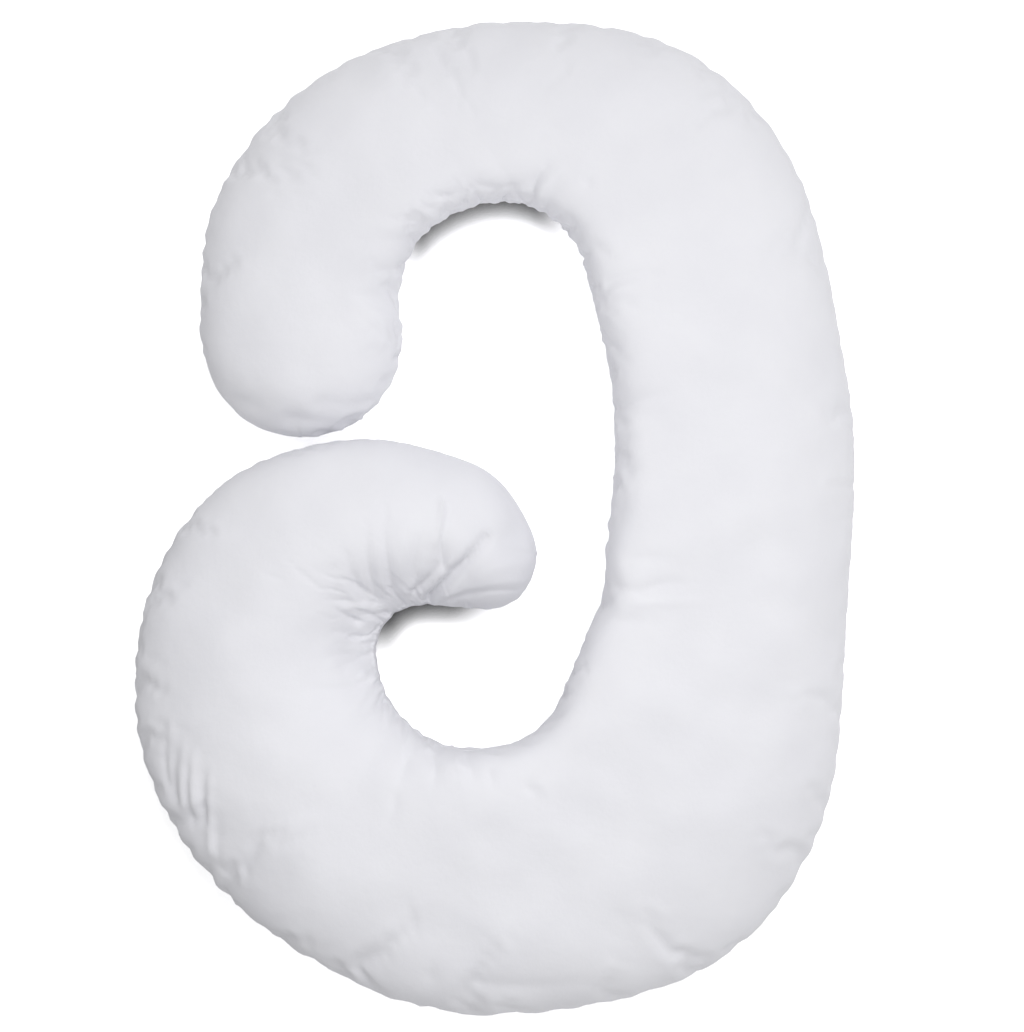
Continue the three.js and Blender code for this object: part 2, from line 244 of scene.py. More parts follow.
def station_rows():
    """Rows at which the skin has a ring: close together in the caps, and by the steps wanted between them."""
    cap = CAP_LENGTH * (1 - np.cos(np.arange(1, CAP_STEPS + 1) * math.pi / (2 * CAP_STEPS)))
    steps = np.interp(ROWS, STEPS_ALONG[:, 0], STEPS_ALONG[:, 1])
    counted = np.concatenate([[0], np.cumsum(np.diff(MIDDLE_LENGTH) / steps[1:])])
    first, last = np.interp((CAP_LENGTH, TUBE_LENGTH - CAP_LENGTH), MIDDLE_LENGTH, counted)
    places = np.linspace(first, last, STATIONS - 2 * CAP_STEPS + 2)[1:-1]
    body = np.interp(places, counted, MIDDLE_LENGTH)
    distances = np.concatenate([cap, body, TUBE_LENGTH - cap[::-1]])
    return np.interp(distances, MIDDLE_LENGTH, ROWS)


def skin_grid(rows):
    """The smooth skin as rings of points, with each one's arc from the seam, its side and whether it is on top.

    A ring runs from the outer seam over the top to the inner seam, and back underneath.
    """
    steps = np.arange(FLANK_STEPS + 1) / FLANK_STEPS
    eased = SEAM_CROWDING * steps + (1 - SEAM_CROWDING) * steps ** 2
    fine = 1 - np.cos(np.linspace(0, math.pi / 2, MEASURED_POINTS))
    under_steps = np.arange(UNDER_STEPS + 1) / UNDER_STEPS
    parts = []
    for side, on_top in ((-1, True), (1, True), (1, False), (-1, False)):
        row_grid, share_grid = np.meshgrid(rows, fine, indexing="ij")
        dense = smooth_points(row_grid, side * (1 - share_grid), on_top)
        lengths = np.linalg.norm(np.diff(dense, axis=1), axis=2)
        arc = np.concatenate([np.zeros((len(rows), 1)), np.cumsum(lengths, axis=1)], axis=1)
        wanted = eased if on_top else under_steps ** UNDER_CROWDING
        shares = np.array([np.interp(wanted * line[-1], line, fine) for line in arc])
        row_grid = np.repeat(rows[:, None], len(wanted), axis=1)
        points = smooth_points(row_grid, side * (1 - shares), on_top)
        away = wanted[None, :] * arc[:, -1:]
        if (side < 0) == on_top:
            parts.append((points[:, :-1], away[:, :-1], side, on_top))
        else:
            parts.append((points[:, :0:-1], away[:, :0:-1], side, on_top))
    points = np.concatenate([part[0] for part in parts], axis=1)
    away = np.concatenate([part[1] for part in parts], axis=1)
    side = np.concatenate([np.full(part[1].shape[1], part[2]) for part in parts])
    on_top = np.concatenate([np.full(part[1].shape[1], part[3]) for part in parts])
    return points, away, side, on_top


# Puckers along the seam, one to each pitch of a zone. Side -1 is the outer seam and 1 the inner one, and from
# and to count rows of sections. Depth is the mean pull inwards, and reach how far a pucker runs from the seam.
PUCKER_ZONES = [
    {"side": -1, "from": 0, "to": 9, "pitch": 40, "depth": 0.9, "reach": 34},
    {"side": -1, "from": 9, "to": 16, "pitch": 52, "depth": 0.5, "reach": 30},
    {"side": -1, "from": 16, "to": 26, "pitch": 60, "depth": 0.35, "reach": 30},
    {"side": -1, "from": 26, "to": 36, "pitch": 46, "depth": 1.1, "reach": 44},
    {"side": -1, "from": 36, "to": 44, "pitch": 50, "depth": 0.4, "reach": 30},
    {"side": 1, "from": 0, "to": 5, "pitch": 30, "depth": 2.2, "reach": 34},
    {"side": 1, "from": 5, "to": 15, "pitch": 21, "depth": 3.0, "reach": 46},
    {"side": 1, "from": 15, "to": 22, "pitch": 34, "depth": 1.4, "reach": 42},
    {"side": 1, "from": 22, "to": 29, "pitch": 30, "depth": 1.2, "reach": 50},
    {"side": 1, "from": 29, "to": 40, "pitch": 20, "depth": 1.8, "reach": 48},
    {"side": 1, "from": 40, "to": 44, "pitch": 26, "depth": 1.8, "reach": 30},
]
PUCKER_SEED = 11
# How much one pucker differs from the next: its place as a share of the pitch, its pull and its reach as shares
# of the zone's, its width as a share of the pitch, and how far it slants for each millimetre from the seam.
PUCKER_SHIFT = (-0.35, 0.35)
PUCKER_PULL = (0.3, 1.6)
PUCKER_REACH = (0.5, 1.7)
PUCKER_WIDTH = (0.14, 0.24)
PUCKER_SLANT = (-0.45, 0.45)
# A pucker grows wider by this share over its reach, fades by this power, and has a low bank on each side.
PUCKER_WIDENING = 0.8
PUCKER_POWER = 1.5
BANK_HEIGHT = 0.35
BANK_PLACE = 2

# Folds on the top, each from the point next to the seam to the one where it fades, as seen from above at the
# seam's height. A negative depth is a ridge, bend bows the line sideways, and lean makes one side steeper.
FOLDS = [
    # The hook's inner edge, from its end round to the foot of the long folds.
    {"from": (-92, -116), "to": (-10, -30), "width": 5.5, "depth": 11, "bend": -2, "lean": 0.2},
    {"from": (-6, -26), "to": (-60, -82), "width": 4.5, "depth": 4.5, "bend": 2, "lean": -0.2},
    {"from": (-80, -120), "to": (4, -40), "width": 9, "depth": -4, "bend": -2, "lean": 0.0},
    {"from": (-98, -104), "to": (-38, -40), "width": 8, "depth": -3, "bend": -2, "lean": 0.0},
    {"from": (-114, -106), "to": (-80, -72), "width": 5, "depth": 7, "bend": -2, "lean": 0.2},
    {"from": (-122, -104), "to": (-98, -56), "width": 8, "depth": -3, "bend": -2, "lean": 0.0},
    {"from": (-72, -74), "to": (-68, 2), "width": 5.5, "depth": 5, "bend": 4, "lean": -0.3},
    {"from": (-74, 20), "to": (-82, -40), "width": 4.5, "depth": -4.5, "bend": 2, "lean": 0.0},
    {"from": (-112, -84), "to": (-98, -14), "width": 7, "depth": 3, "bend": 3, "lean": 0.2},
    {"from": (-130, -100), "to": (-122, -20), "width": 8, "depth": -3, "bend": 4, "lean": 0.0},
    {"from": (-142, -100), "to": (-152, 14), "width": 6, "depth": 4.5, "bend": 4, "lean": 0.2},
    {"from": (-154, -104), "to": (-166, -22), "width": 7, "depth": -3, "bend": 3, "lean": 0.0},
    {"from": (-164, -116), "to": (-178, -30), "width": 6, "depth": 4.5, "bend": 3, "lean": 0.2},
    {"from": (-180, -112), "to": (-206, -54), "width": 7, "depth": 4.5, "bend": 3, "lean": 0.2},
    {"from": (-186, -126), "to": (-216, -88), "width": 7, "depth": -3, "bend": 2, "lean": 0.0},
    {"from": (-188, -148), "to": (-220, -130), "width": 5, "depth": 5.5, "bend": 0, "lean": 0.3},
    {"from": (-196, -150), "to": (-206, -214), "width": 20, "depth": 4, "bend": 4, "lean": 0.0},
    {"from": (-170, -228), "to": (-180, -236), "width": 7, "depth": -4, "bend": 0, "lean": 0.0},
    {"from": (-184, -222), "to": (-192, -228), "width": 7, "depth": -3.5, "bend": 0, "lean": 0.0},
    {"from": (-226, -76), "to": (-256, -76), "width": 8, "depth": 2.5, "bend": 2, "lean": 0.0},
    {"from": (-208, -119), "to": (-234, -116), "width": 7, "depth": 3, "bend": 0, "lean": 0.0},
    {"from": (-182, -170), "to": (-222, -161), "width": 6, "depth": 3.5, "bend": 0, "lean": 0.0},
    {"from": (-184, -196), "to": (-230, -196), "width": 7, "depth": 3, "bend": -4, "lean": 0.0},
    {"from": (-180, -232), "to": (-258, -238), "width": 8, "depth": 4.5, "bend": 4, "lean": 0.2},
    {"from": (-158, -240), "to": (-202, -266), "width": 8, "depth": -4, "bend": 0, "lean": 0.0},
    {"from": (-150, -256), "to": (-196, -284), "width": 6, "depth": 4, "bend": 0, "lean": 0.0},
    # The band across the foot of the hook's end.
    {"from": (-76, -120), "to": (36, -104), "width": 5, "depth": 3.5, "bend": 5, "lean": 0.4},
    {"from": (-66, -108), "to": (40, -90), "width": 8, "depth": -3, "bend": 5, "lean": 0.0},
    {"from": (-38, -82), "to": (20, -28), "width": 15, "depth": 4, "bend": 8, "lean": 0.0},
    {"from": (-24, -86), "to": (34, -66), "width": 11, "depth": -3, "bend": 5, "lean": 0.0},
    # The upper inner curve.
    {"from": (52, 456), "to": (73, 488), "width": 7, "depth": 6, "bend": 3, "lean": 0.4},
    {"from": (62, 450), "to": (90, 484), "width": 8, "depth": -4.5, "bend": 3, "lean": 0.0},
    {"from": (-20, 462), "to": (58, 470), "width": 11, "depth": 5, "bend": -8, "lean": 0.0},
    {"from": (-78, 448), "to": (-36, 456), "width": 8, "depth": 4, "bend": -3, "lean": 0.0},
    {"from": (-90, 430), "to": (-80, 438), "width": 6, "depth": 3, "bend": 0, "lean": 0.0},
    {"from": (-116, 425), "to": (-122, 402), "width": 6, "depth": 3.5, "bend": 2, "lean": 0.0},
    {"from": (130, 468), "to": (134, 472), "width": 7, "depth": 3.5, "bend": 0, "lean": 0.0},
    {"from": (108, 408), "to": (100, 424), "width": 9, "depth": 4, "bend": 0, "lean": 0.0},
    {"from": (146, 376), "to": (166, 360), "width": 8, "depth": 3.5, "bend": 0, "lean": 0.0},
    {"from": (158, 322), "to": (222, 340), "width": 7, "depth": 4.5, "bend": 4, "lean": 0.3},
    {"from": (164, 314), "to": (206, 318), "width": 8, "depth": -3, "bend": 0, "lean": 0.0},
    {"from": (186, 298), "to": (196, 292), "width": 8, "depth": 3, "bend": 0, "lean": 0.0},
    # The long body's inner edge.
    {"from": (174, 152), "to": (238, 171), "width": 9, "depth": 4, "bend": 3, "lean": 0.2},
    {"from": (176, 108), "to": (190, 112), "width": 9, "depth": 3, "bend": 0, "lean": 0.0},
    {"from": (184, 64), "to": (196, 66), "width": 9, "depth": 2.5, "bend": 0, "lean": 0.0},
    {"from": (190, -60), "to": (246, -60), "width": 10, "depth": 3, "bend": 3, "lean": 0.0},
    {"from": (172, -101), "to": (196, -104), "width": 9, "depth": 4, "bend": 0, "lean": 0.0},
    {"from": (204, -104), "to": (264, -92), "width": 10, "depth": 3.5, "bend": 4, "lean": -0.3},
    {"from": (200, -122), "to": (278, -119), "width": 6, "depth": -2.2, "bend": 0, "lean": 0.0},
    {"from": (172, -146), "to": (218, -146), "width": 12, "depth": 3, "bend": 0, "lean": 0.0},
    {"from": (455, -18), "to": (357, -193), "width": 30, "depth": -3, "bend": 12, "lean": 0.0},
    # The lower inner curve.
    {"from": (-124, -340), "to": (-134, -368), "width": 8, "depth": 4.5, "bend": 0, "lean": 0.2},
    {"from": (-140, -394), "to": (-148, -424), "width": 9, "depth": 3, "bend": 2, "lean": 0.0},
    {"from": (-87, -332), "to": (-86, -374), "width": 8, "depth": 4, "bend": 2, "lean": 0.2},
    {"from": (-42, -338), "to": (-30, -366), "width": 8, "depth": 4, "bend": 2, "lean": 0.2},
    {"from": (-6, -360), "to": (-4, -376), "width": 8, "depth": 3, "bend": 0, "lean": 0.0},
    {"from": (50, -382), "to": (52, -390), "width": 8, "depth": 3.5, "bend": 0, "lean": 0.0},
    {"from": (68, -378), "to": (70, -386), "width": 8, "depth": -3, "bend": 0, "lean": 0.0},
    # The hook's outer edge, low on the left, and the bottom.
    {"from": (-446, -396), "to": (-446, -330), "width": 5.5, "depth": 5.5, "bend": 3, "lean": 0.2},
    {"from": (-434, -404), "to": (-434, -322), "width": 5, "depth": -3.5, "bend": 3, "lean": 0.0},
    {"from": (-458, -374), "to": (-460, -306), "width": 5, "depth": 4, "bend": 3, "lean": 0.2},
    {"from": (-454, -292), "to": (-456, -306), "width": 8, "depth": -3.5, "bend": 0, "lean": 0.0},
    {"from": (-421, -402), "to": (-421, -328), "width": 5.5, "depth": -4.5, "bend": 2, "lean": 0.0},
    {"from": (-427, -424), "to": (-428, -352), "width": 4.5, "depth": 4, "bend": 2, "lean": 0.2},
    {"from": (-405, -428), "to": (-406, -362), "width": 5, "depth": 6, "bend": 2, "lean": 0.2},
    {"from": (-397, -468), "to": (-399, -366), "width": 5, "depth": -4.5, "bend": 3, "lean": 0.0},
    {"from": (-386, -492), "to": (-390, -420), "width": 6, "depth": 3, "bend": 3, "lean": 0.0},
    {"from": (-90, -646), "to": (-88, -630), "width": 10, "depth": 3.5, "bend": 0, "lean": 0.0},
    {"from": (-20, -656), "to": (126, -654), "width": 12, "depth": 3.5, "bend": -4, "lean": 0.0},
    # The upper arm's end.
    {"from": (-363, 161), "to": (-336, 156), "width": 9, "depth": 3.5, "bend": 0, "lean": 0.0},
    {"from": (-290, 139), "to": (-239, 133), "width": 9, "depth": 3.5, "bend": 0, "lean": 0.0},
    {"from": (-250, 158), "to": (-200, 156), "width": 9, "depth": 3, "bend": 2, "lean": 0.0},
]
# A fold is felt this many widths away, and its cross section has this power.
FOLD_SPREAD = 4
FOLD_POWER = 1.5
# Past this share of its length a fold gets shallower, by this share of its depth at its far end.
FOLD_TAPER_START = 0.2
FOLD_TAPER = 0.55


# The photo's eye, over the pillow, and the height at which the folds' places are given.
EYE = np.array([24.0, 1.0, 3200.0])
SEAM_PLANE = 80.0


def seen_from_above(points):
    """Each point's place in plan as the eye sees it against the seam's height."""
    shrink = (EYE[2] - SEAM_PLANE) / (EYE[2] - points[..., 2])
    return EYE[:2] + (points[..., :2] - EYE[:2]) * shrink[..., None]


def smoothstep(low, high, value):
    share = np.clip((value - low) / (high - low), 0, 1)
    return share * share * (3 - 2 * share)


def fold_depth(seen):
    """How deep all the folds are at places seen from above."""
    depth = np.zeros(seen.shape[:-1])
    for fold in FOLDS:
        start = np.array(fold["from"], dtype=float)
        run = np.array(fold["to"], dtype=float) - start
        length = np.linalg.norm(run)
        ahead = run / length
        left = np.array([-ahead[1], ahead[0]])
        offset = seen - start
        share = (offset @ ahead) / length
        held = np.clip(share, 0, 1)
        sideways = offset @ left - fold["bend"] * 4 * held * (1 - held)
        beyond = (share - held) * length
        width = fold["width"] * (1 + fold["lean"] * np.sign(sideways))
        gap = np.hypot(sideways / width, beyond / fold["width"])
        taper = 1 - FOLD_TAPER * smoothstep(FOLD_TAPER_START, 1, share)
        near = gap < FOLD_SPREAD
        depth[near] += (fold["depth"] * taper * np.exp(-gap ** FOLD_POWER))[near]
    return depth


def pucker_depth(along, away, side):
    """How deep the seam's puckers are on one side, by distance along its seam and away from it."""
    random = np.random.default_rng(PUCKER_SEED + side)
    lengths = OUTER_LENGTH if side < 0 else INNER_LENGTH
    depth = np.zeros(along.shape)
    for zone in PUCKER_ZONES:
        if zone["side"] != side:
            continue
        start, end = np.interp((zone["from"], zone["to"]), ROWS, lengths)
        count = max(1, round((end - start) / zone["pitch"]))
        for i in range(count):
            place = start + (i + 0.5 + random.uniform(*PUCKER_SHIFT)) * (end - start) / count
            pull = zone["depth"] * random.uniform(*PUCKER_PULL)
            reach = zone["reach"] * random.uniform(*PUCKER_REACH)
            width = zone["pitch"] * random.uniform(*PUCKER_WIDTH)
            slant = random.uniform(*PUCKER_SLANT)
            spread = width * (1 + PUCKER_WIDENING * away / reach)
            gap = np.abs(along - place - slant * away) / spread
            bank = BANK_HEIGHT * np.exp(-((gap - BANK_PLACE) ** 2))
            valley = np.exp(-gap ** PUCKER_POWER) - bank
            depth += pull * valley * np.exp(-((away / reach) ** PUCKER_POWER))
    return depth


# The cloth simulation's coarse skin takes every second point of the fine one.
CLOTH_FRAMES = 20
CLOTH_PRESSURE = 4
CLOTH = {
    "quality": 5,
    "mass": 0.25,
    "tension_stiffness": 18,
    "compression_stiffness": 18,
    "shear_stiffness": 6,
    "bending_stiffness": 0.4,
}
# How much larger the slackest cloth would grow, how far from a seam slack cloth reaches, and how far a
# pucker of it may stand out or in.
CLOTH_GROWTH = 0.16
GROWTH_REACH = 100
PUCKER_CAP = 10
# How much too large the cloth is beside each seam, as a share of the growth: row, outer seam, inner seam.
SLACK = np.array([
    (0, 0.07, 0.30),
    (4, 0.06, 0.40),
    (7, 0.05, 0.75),
    (12, 0.02, 0.75),
    (15, 0.02, 0.45),
    (26, 0.02, 0.45),
    (29, 0.06, 0.50),
    (32, 0.14, 0.55),
    (35, 0.10, 0.50),
    (38, 0.05, 0.22),
    (42, 0.03, 0.14),
    (45, 0.03, 0.12),
])
# The cloth's broad swelling, which is left out, is its mean over this many steps of the coarse grid.
SMOOTHING_WIDTH = 9

# The sewn seam: a narrow groove along it, with a low lip of taut cloth on each side.
GROOVE_DEPTH = 2.2
GROOVE_WIDTH = 2.6
LIP_HEIGHT = 1.1
LIP_PLACE = 6.5
LIP_WIDTH = 3.5

# Small dents of the filling: how many waves, how long they are and how high they stand together.
DENT_SEED = 5
DENT_WAVES = 40
DENT_LENGTHS = (70, 190)
DENT_HEIGHT = 1.5

# How far from the seam the folds and the dents are whole, how far the puckers reach underneath, and how far
# the seam's pull stays level before it turns square to the cloth.
FOLDS_WHOLE = 12
DENTS_WHOLE = 60
UNDER_REACH = 25
LEVEL_REACH = 14
TINY = 1e-9


def soft_unevenness(seen):
    """Small dents of the filling: a sum of seeded waves in plan, a few centimetres long."""
    random = np.random.default_rng(DENT_SEED)
    height = np.zeros(seen.shape[:-1])
    for _ in range(DENT_WAVES):
        turn = random.uniform(0, 2 * math.pi)
        length = random.uniform(*DENT_LENGTHS)
        travel = seen @ np.array([math.cos(turn), math.sin(turn)])
        height += np.sin(2 * math.pi * (travel / length + random.uniform(0, 1)))
    return height * DENT_HEIGHT / math.sqrt(DENT_WAVES)


def grid_normals(points):
    """Outward normals of the rings' points."""
    along = np.gradient(points, axis=0)
    around = np.roll(points, -1, axis=1) - np.roll(points, 1, axis=1)
    normals = np.cross(around, along)
    return normals / np.maximum(np.linalg.norm(normals, axis=-1, keepdims=True), TINY)


def smoothed(values, width):
    """Values averaged along the tube and round it, over a window of grid steps."""
    window = np.hanning(width + 2)[1:-1]
    window /= window.sum()
    pad = width // 2
    along = np.pad(values, ((pad, pad), (0, 0)), mode="edge")
    along = np.stack([np.convolve(column, window, mode="valid") for column in along.T], axis=1)
    around = np.pad(along, ((0, 0), (pad, pad)), mode="wrap")
    return np.stack([np.convolve(line, window, mode="valid") for line in around])


def doubled(values):
    """Coarse values brought to the fine grid, along the tube by its ends and round it in a circle."""
    fine = np.empty((2 * values.shape[0] - 1, values.shape[1]))
    fine[::2] = values
    padded = np.pad(values, ((1, 1), (0, 0)), mode="edge")
    fine[1::2] = (9 * (padded[1:-2] + padded[2:-1]) - padded[:-3] - padded[3:]) / 16
    wide = np.empty((fine.shape[0], 2 * fine.shape[1]))
    wide[:, ::2] = fine
    before, after, last = (np.roll(fine, shift, axis=1) for shift in (1, -1, -2))
    wide[:, 1::2] = (9 * (fine + after) - before - last) / 16
    return wide


def skin_mesh(name, points):
    """A closed mesh of rings of points in millimetres, its two ends closed at their middle."""
    count, size = points.shape[:2]
    ends = points[[0, -1]].mean(axis=1)
    vertices = np.concatenate([points.reshape(-1, 3), ends]) * MM
    index = np.arange(count * size).reshape(count, size)
    beside = np.roll(index, -1, axis=1)
    quads = np.stack([index[:-1], beside[:-1], beside[1:], index[1:]], axis=-1).reshape(-1, 4)
    faces = [tuple(quad) for quad in quads.tolist()]
    first = count * size
    faces += [(first, b, a) for a, b in zip(index[0].tolist(), beside[0].tolist())]
    faces += [(first + 1, a, b) for a, b in zip(index[-1].tolist(), beside[-1].tolist())]
    mesh = bpy.data.meshes.new(name)
    mesh.from_pydata(vertices.tolist(), [], faces)
    mesh.validate()
    mesh.polygons.foreach_set("use_smooth", [True] * len(mesh.polygons))
    return mesh


def slack_at(rows, away, side):
    """How much too large the cloth is at each point, most beside the seam, as a share of the growth."""
    outer, inner = (np.interp(rows, SLACK[:, 0], SLACK[:, column])[:, None] for column in (1, 2))
    return np.where(side < 0, outer, inner) * (1 - np.minimum(1, away / GROWTH_REACH))


def cloth_puckers(points, away, side, on_top, rows):
    """How far simulated cloth, a little too large for the skin, stands out from it, in millimetres."""
    mesh = skin_mesh("cloth_draft", points)
    draft = bpy.data.objects.new("cloth_draft", mesh)
    bpy.context.collection.objects.link(draft)
    size = points.shape[1]
    held = draft.vertex_groups.new(name="held")
    taut = draft.vertex_groups.new(name="taut")
    for j in range(size):
        column = list(range(j, points.shape[0] * size, size))
        if not on_top[j] or away[0, j] == 0:
            held.add(column, 1.0, "REPLACE")
    for number, slack in enumerate(slack_at(rows, away, side).ravel()):
        taut.add([number], 1 - slack, "REPLACE")
    held.add([points.shape[0] * size, points.shape[0] * size + 1], 1.0, "REPLACE")
    cloth = draft.modifiers.new("cloth", "CLOTH")
    settings = cloth.settings
    for setting, value in CLOTH.items():
        setattr(settings, setting, value)
    settings.vertex_group_mass = "held"
    settings.shrink_min = -CLOTH_GROWTH
    settings.shrink_max = 0
    settings.vertex_group_shrink = "taut"
    settings.use_pressure = True
    settings.uniform_pressure_force = CLOTH_PRESSURE
    settings.effector_weights.gravity = 0
    cloth.collision_settings.use_collision = False
    for number in range(1, CLOTH_FRAMES + 1):
        bpy.context.scene.frame_set(number)
    settled = draft.evaluated_get(bpy.context.evaluated_depsgraph_get()).to_mesh()
    moved = np.empty(len(settled.vertices) * 3)
    settled.vertices.foreach_get("co", moved)
    moved = moved.reshape(-1, 3)[:-2].reshape(points.shape) / MM
    bpy.data.objects.remove(draft)
    bpy.context.scene.frame_set(1)
    return ((moved - points) * grid_normals(points)).sum(axis=-1)


def seam_relief(away):
    """How far in the sewn seam draws the cloth at a distance from it, lips counting as less than nothing."""
    groove = GROOVE_DEPTH * np.exp(-((away / GROOVE_WIDTH) ** 2))
    return groove - LIP_HEIGHT * np.exp(-(((away - LIP_PLACE) / LIP_WIDTH) ** 2))


def finished_skin():
    """The skin's rings of points with simulated puckers, the seam's own, the folds and the filling's dents."""
    rows = station_rows()
    points, away, side, on_top = skin_grid(rows)
    normals = grid_normals(points)
    stand = np.zeros(away.shape)
    coarse = cloth_puckers(points[::2, ::2], away[::2, ::2], side[::2], on_top[::2], rows[::2])
    loose = coarse - smoothed(coarse, SMOOTHING_WIDTH)
    stand += doubled(np.clip(loose, -PUCKER_CAP, PUCKER_CAP))
    seen = seen_from_above(points)
    inward = np.zeros(away.shape)
    for number in (-1, 1):
        lengths = OUTER_LENGTH if number < 0 else INNER_LENGTH
        along = np.repeat(np.interp(rows, ROWS, lengths)[:, None], away.shape[1], axis=1)
        columns = side == number
        depth = pucker_depth(along[:, columns], away[:, columns], number)
        under = depth * np.exp(-away[:, columns] / UNDER_REACH)
        inward[:, columns] += np.where(on_top[columns], depth, under)
    folded = on_top[None, :] * smoothstep(0, FOLDS_WHOLE, away)
    dented = on_top[None, :] * smoothstep(0, DENTS_WHOLE, away)
    stand += soft_unevenness(seen) * dented - fold_depth(seen) * folded
    across = outer_seam(rows) - inner_seam(rows)
    across /= np.linalg.norm(across, axis=1, keepdims=True)
    outward = np.concatenate([across, np.zeros((len(rows), 1))], axis=1)[:, None, :] * -side[None, :, None]
    inward += seam_relief(away)
    level = np.exp(-away / LEVEL_REACH)[..., None]
    pull = normals * (1 - level) + outward * level
    return points + normals * stand[..., None] - pull * inward[..., None]


# The cotton: its two tints, how large its mottling and its crumple are, and its threads. Scales count in each
# metre, and depths are in metres.
PALE_TINT = (0.785, 0.785, 0.825, 1)
PALER_TINT = (0.815, 0.815, 0.852, 1)
MOTTLE = {"Scale": 9, "Detail": 4}
MOTTLE_RAMP = (0.3, 0.7)
CRUMPLE = {"Scale": 42, "Detail": 3}
CRUMPLE_RELIEF = {"Strength": 0.35, "Distance": 0.0025}
THREAD = {"Scale": 380, "Distortion": 0.6}
THREAD_RELIEF = {"Strength": 0.25, "Distance": 0.0002}
COTTON_SHADER = {
    "Roughness": 0.88,
    "Specular IOR Level": 0.25,
    "Sheen Weight": 0.12,
    "Sheen Roughness": 0.5,
}


def node(nodes, kind, values):
    """A new node with its sockets' own values set."""
    made = nodes.new(kind)
    for socket, value in values.items():
        made.inputs[socket].default_value = value
    return made


def cotton():
    """White plain-weave cotton with a faint violet tint, soft mottling and a fine thread relief."""
    material = bpy.data.materials.new("cotton")
    material.use_nodes = True
    nodes = material.node_tree.nodes
    links = material.node_tree.links
    shader = nodes["Principled BSDF"]
    for socket, value in COTTON_SHADER.items():
        shader.inputs[socket].default_value = value
    place = nodes.new("ShaderNodeTexCoord")
    mottle = node(nodes, "ShaderNodeTexNoise", MOTTLE)
    tint = nodes.new("ShaderNodeValToRGB")
    for element, position, colour in zip(tint.color_ramp.elements, MOTTLE_RAMP, (PALE_TINT, PALER_TINT)):
        element.position = position
        element.color = colour
    links.new(place.outputs["Object"], mottle.inputs["Vector"])
    links.new(mottle.outputs["Fac"], tint.inputs["Fac"])
    links.new(tint.outputs["Color"], shader.inputs["Base Color"])
    crumple = node(nodes, "ShaderNodeTexNoise", CRUMPLE)
    soft = node(nodes, "ShaderNodeBump", CRUMPLE_RELIEF)
    links.new(place.outputs["Object"], crumple.inputs["Vector"])
    links.new(crumple.outputs["Fac"], soft.inputs["Height"])
    weave = nodes.new("ShaderNodeMath")
    weave.operation = "MULTIPLY"
    for number, direction in enumerate("XY"):
        thread = node(nodes, "ShaderNodeTexWave", THREAD)
        thread.bands_direction = direction
        links.new(place.outputs["Object"], thread.inputs["Vector"])
        links.new(thread.outputs["Fac"], weave.inputs[number])
    grain = node(nodes, "ShaderNodeBump", THREAD_RELIEF)
    links.new(weave.outputs["Value"], grain.inputs["Height"])
    links.new(soft.outputs["Normal"], grain.inputs["Normal"])
    links.new(grain.outputs["Normal"], shader.inputs["Normal"])
    return material


def pillow_piece():
    """The filled cotton tube, which stands for the CAD's pillow."""
    mesh = skin_mesh("pillow_skin", finished_skin())
    mesh.materials.append(cotton())
    piece = bpy.data.objects.new("pillow_skin", mesh)
    bpy.context.collection.objects.link(piece)
    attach(piece, "root")
    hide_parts("pillow")
    return piece


# Where the pillow's shade shows on the overexposed paper: the middle of the place, how far from it the shade
# is whole and where it is gone, how near the cloth has to be to shade the paper, and how deep the shade is.
CONTACT_SHADES = [
    {"middle": (-0.115, -0.115, 0), "whole": 0.05, "gone": 0.12, "nearness": 0.047, "depth": 3.1},
    {"middle": (-0.025, 0.425, 0), "whole": 0.08, "gone": 0.14, "nearness": 0.046, "depth": 3.0},
]
# How many rays look for the cloth.
SHADE_SAMPLES = 8


def ranged(nodes, links, value, start, end, first, last):
    """A socket that goes smoothly from first to last while a value's socket goes from start to end."""
    limits = {"From Min": start, "From Max": end, "To Min": first, "To Max": last}
    change = node(nodes, "ShaderNodeMapRange", limits)
    change.interpolation_type = "SMOOTHSTEP"
    links.new(value, change.inputs["Value"])
    return change.outputs["Result"]


def measured(nodes, links, place, operation, vector):
    """A socket that holds each place's distance from a point, or how far it lies in a direction."""
    measure = nodes.new("ShaderNodeVectorMath")
    measure.operation = operation
    measure.inputs[1].default_value = vector
    links.new(place.outputs["Object"], measure.inputs[0])
    return measure.outputs["Value"]


def contact_shade(nodes, links, place, middle, whole, gone, nearness, depth):
    """How much light the paper keeps beside the cloth, 0 to 1, around one place on the floor."""
    away = measured(nodes, links, place, "DISTANCE", middle)
    openness = node(nodes, "ShaderNodeAmbientOcclusion", {"Distance": nearness})
    openness.samples = SHADE_SAMPLES
    deepened = nodes.new("ShaderNodeMath")
    deepened.operation = "POWER"
    deepened.inputs[1].default_value = depth
    links.new(openness.outputs["AO"], deepened.inputs[0])
    kept = nodes.new("ShaderNodeMix")
    kept.data_type = "FLOAT"
    kept.inputs["A"].default_value = 1
    links.new(ranged(nodes, links, away, whole, gone, 1, 0), kept.inputs["Factor"])
    links.new(deepened.outputs["Value"], kept.inputs["B"])
    return kept.outputs["Result"]


def times(nodes, links, first, second):
    """A socket that holds the product of a socket and another, or of a socket and a number."""
    product = nodes.new("ShaderNodeMath")
    product.operation = "MULTIPLY"
    links.new(first, product.inputs[0])
    if isinstance(second, float):
        product.inputs[1].default_value = second
    else:
        links.new(second, product.inputs[1])
    return product.outputs["Value"]


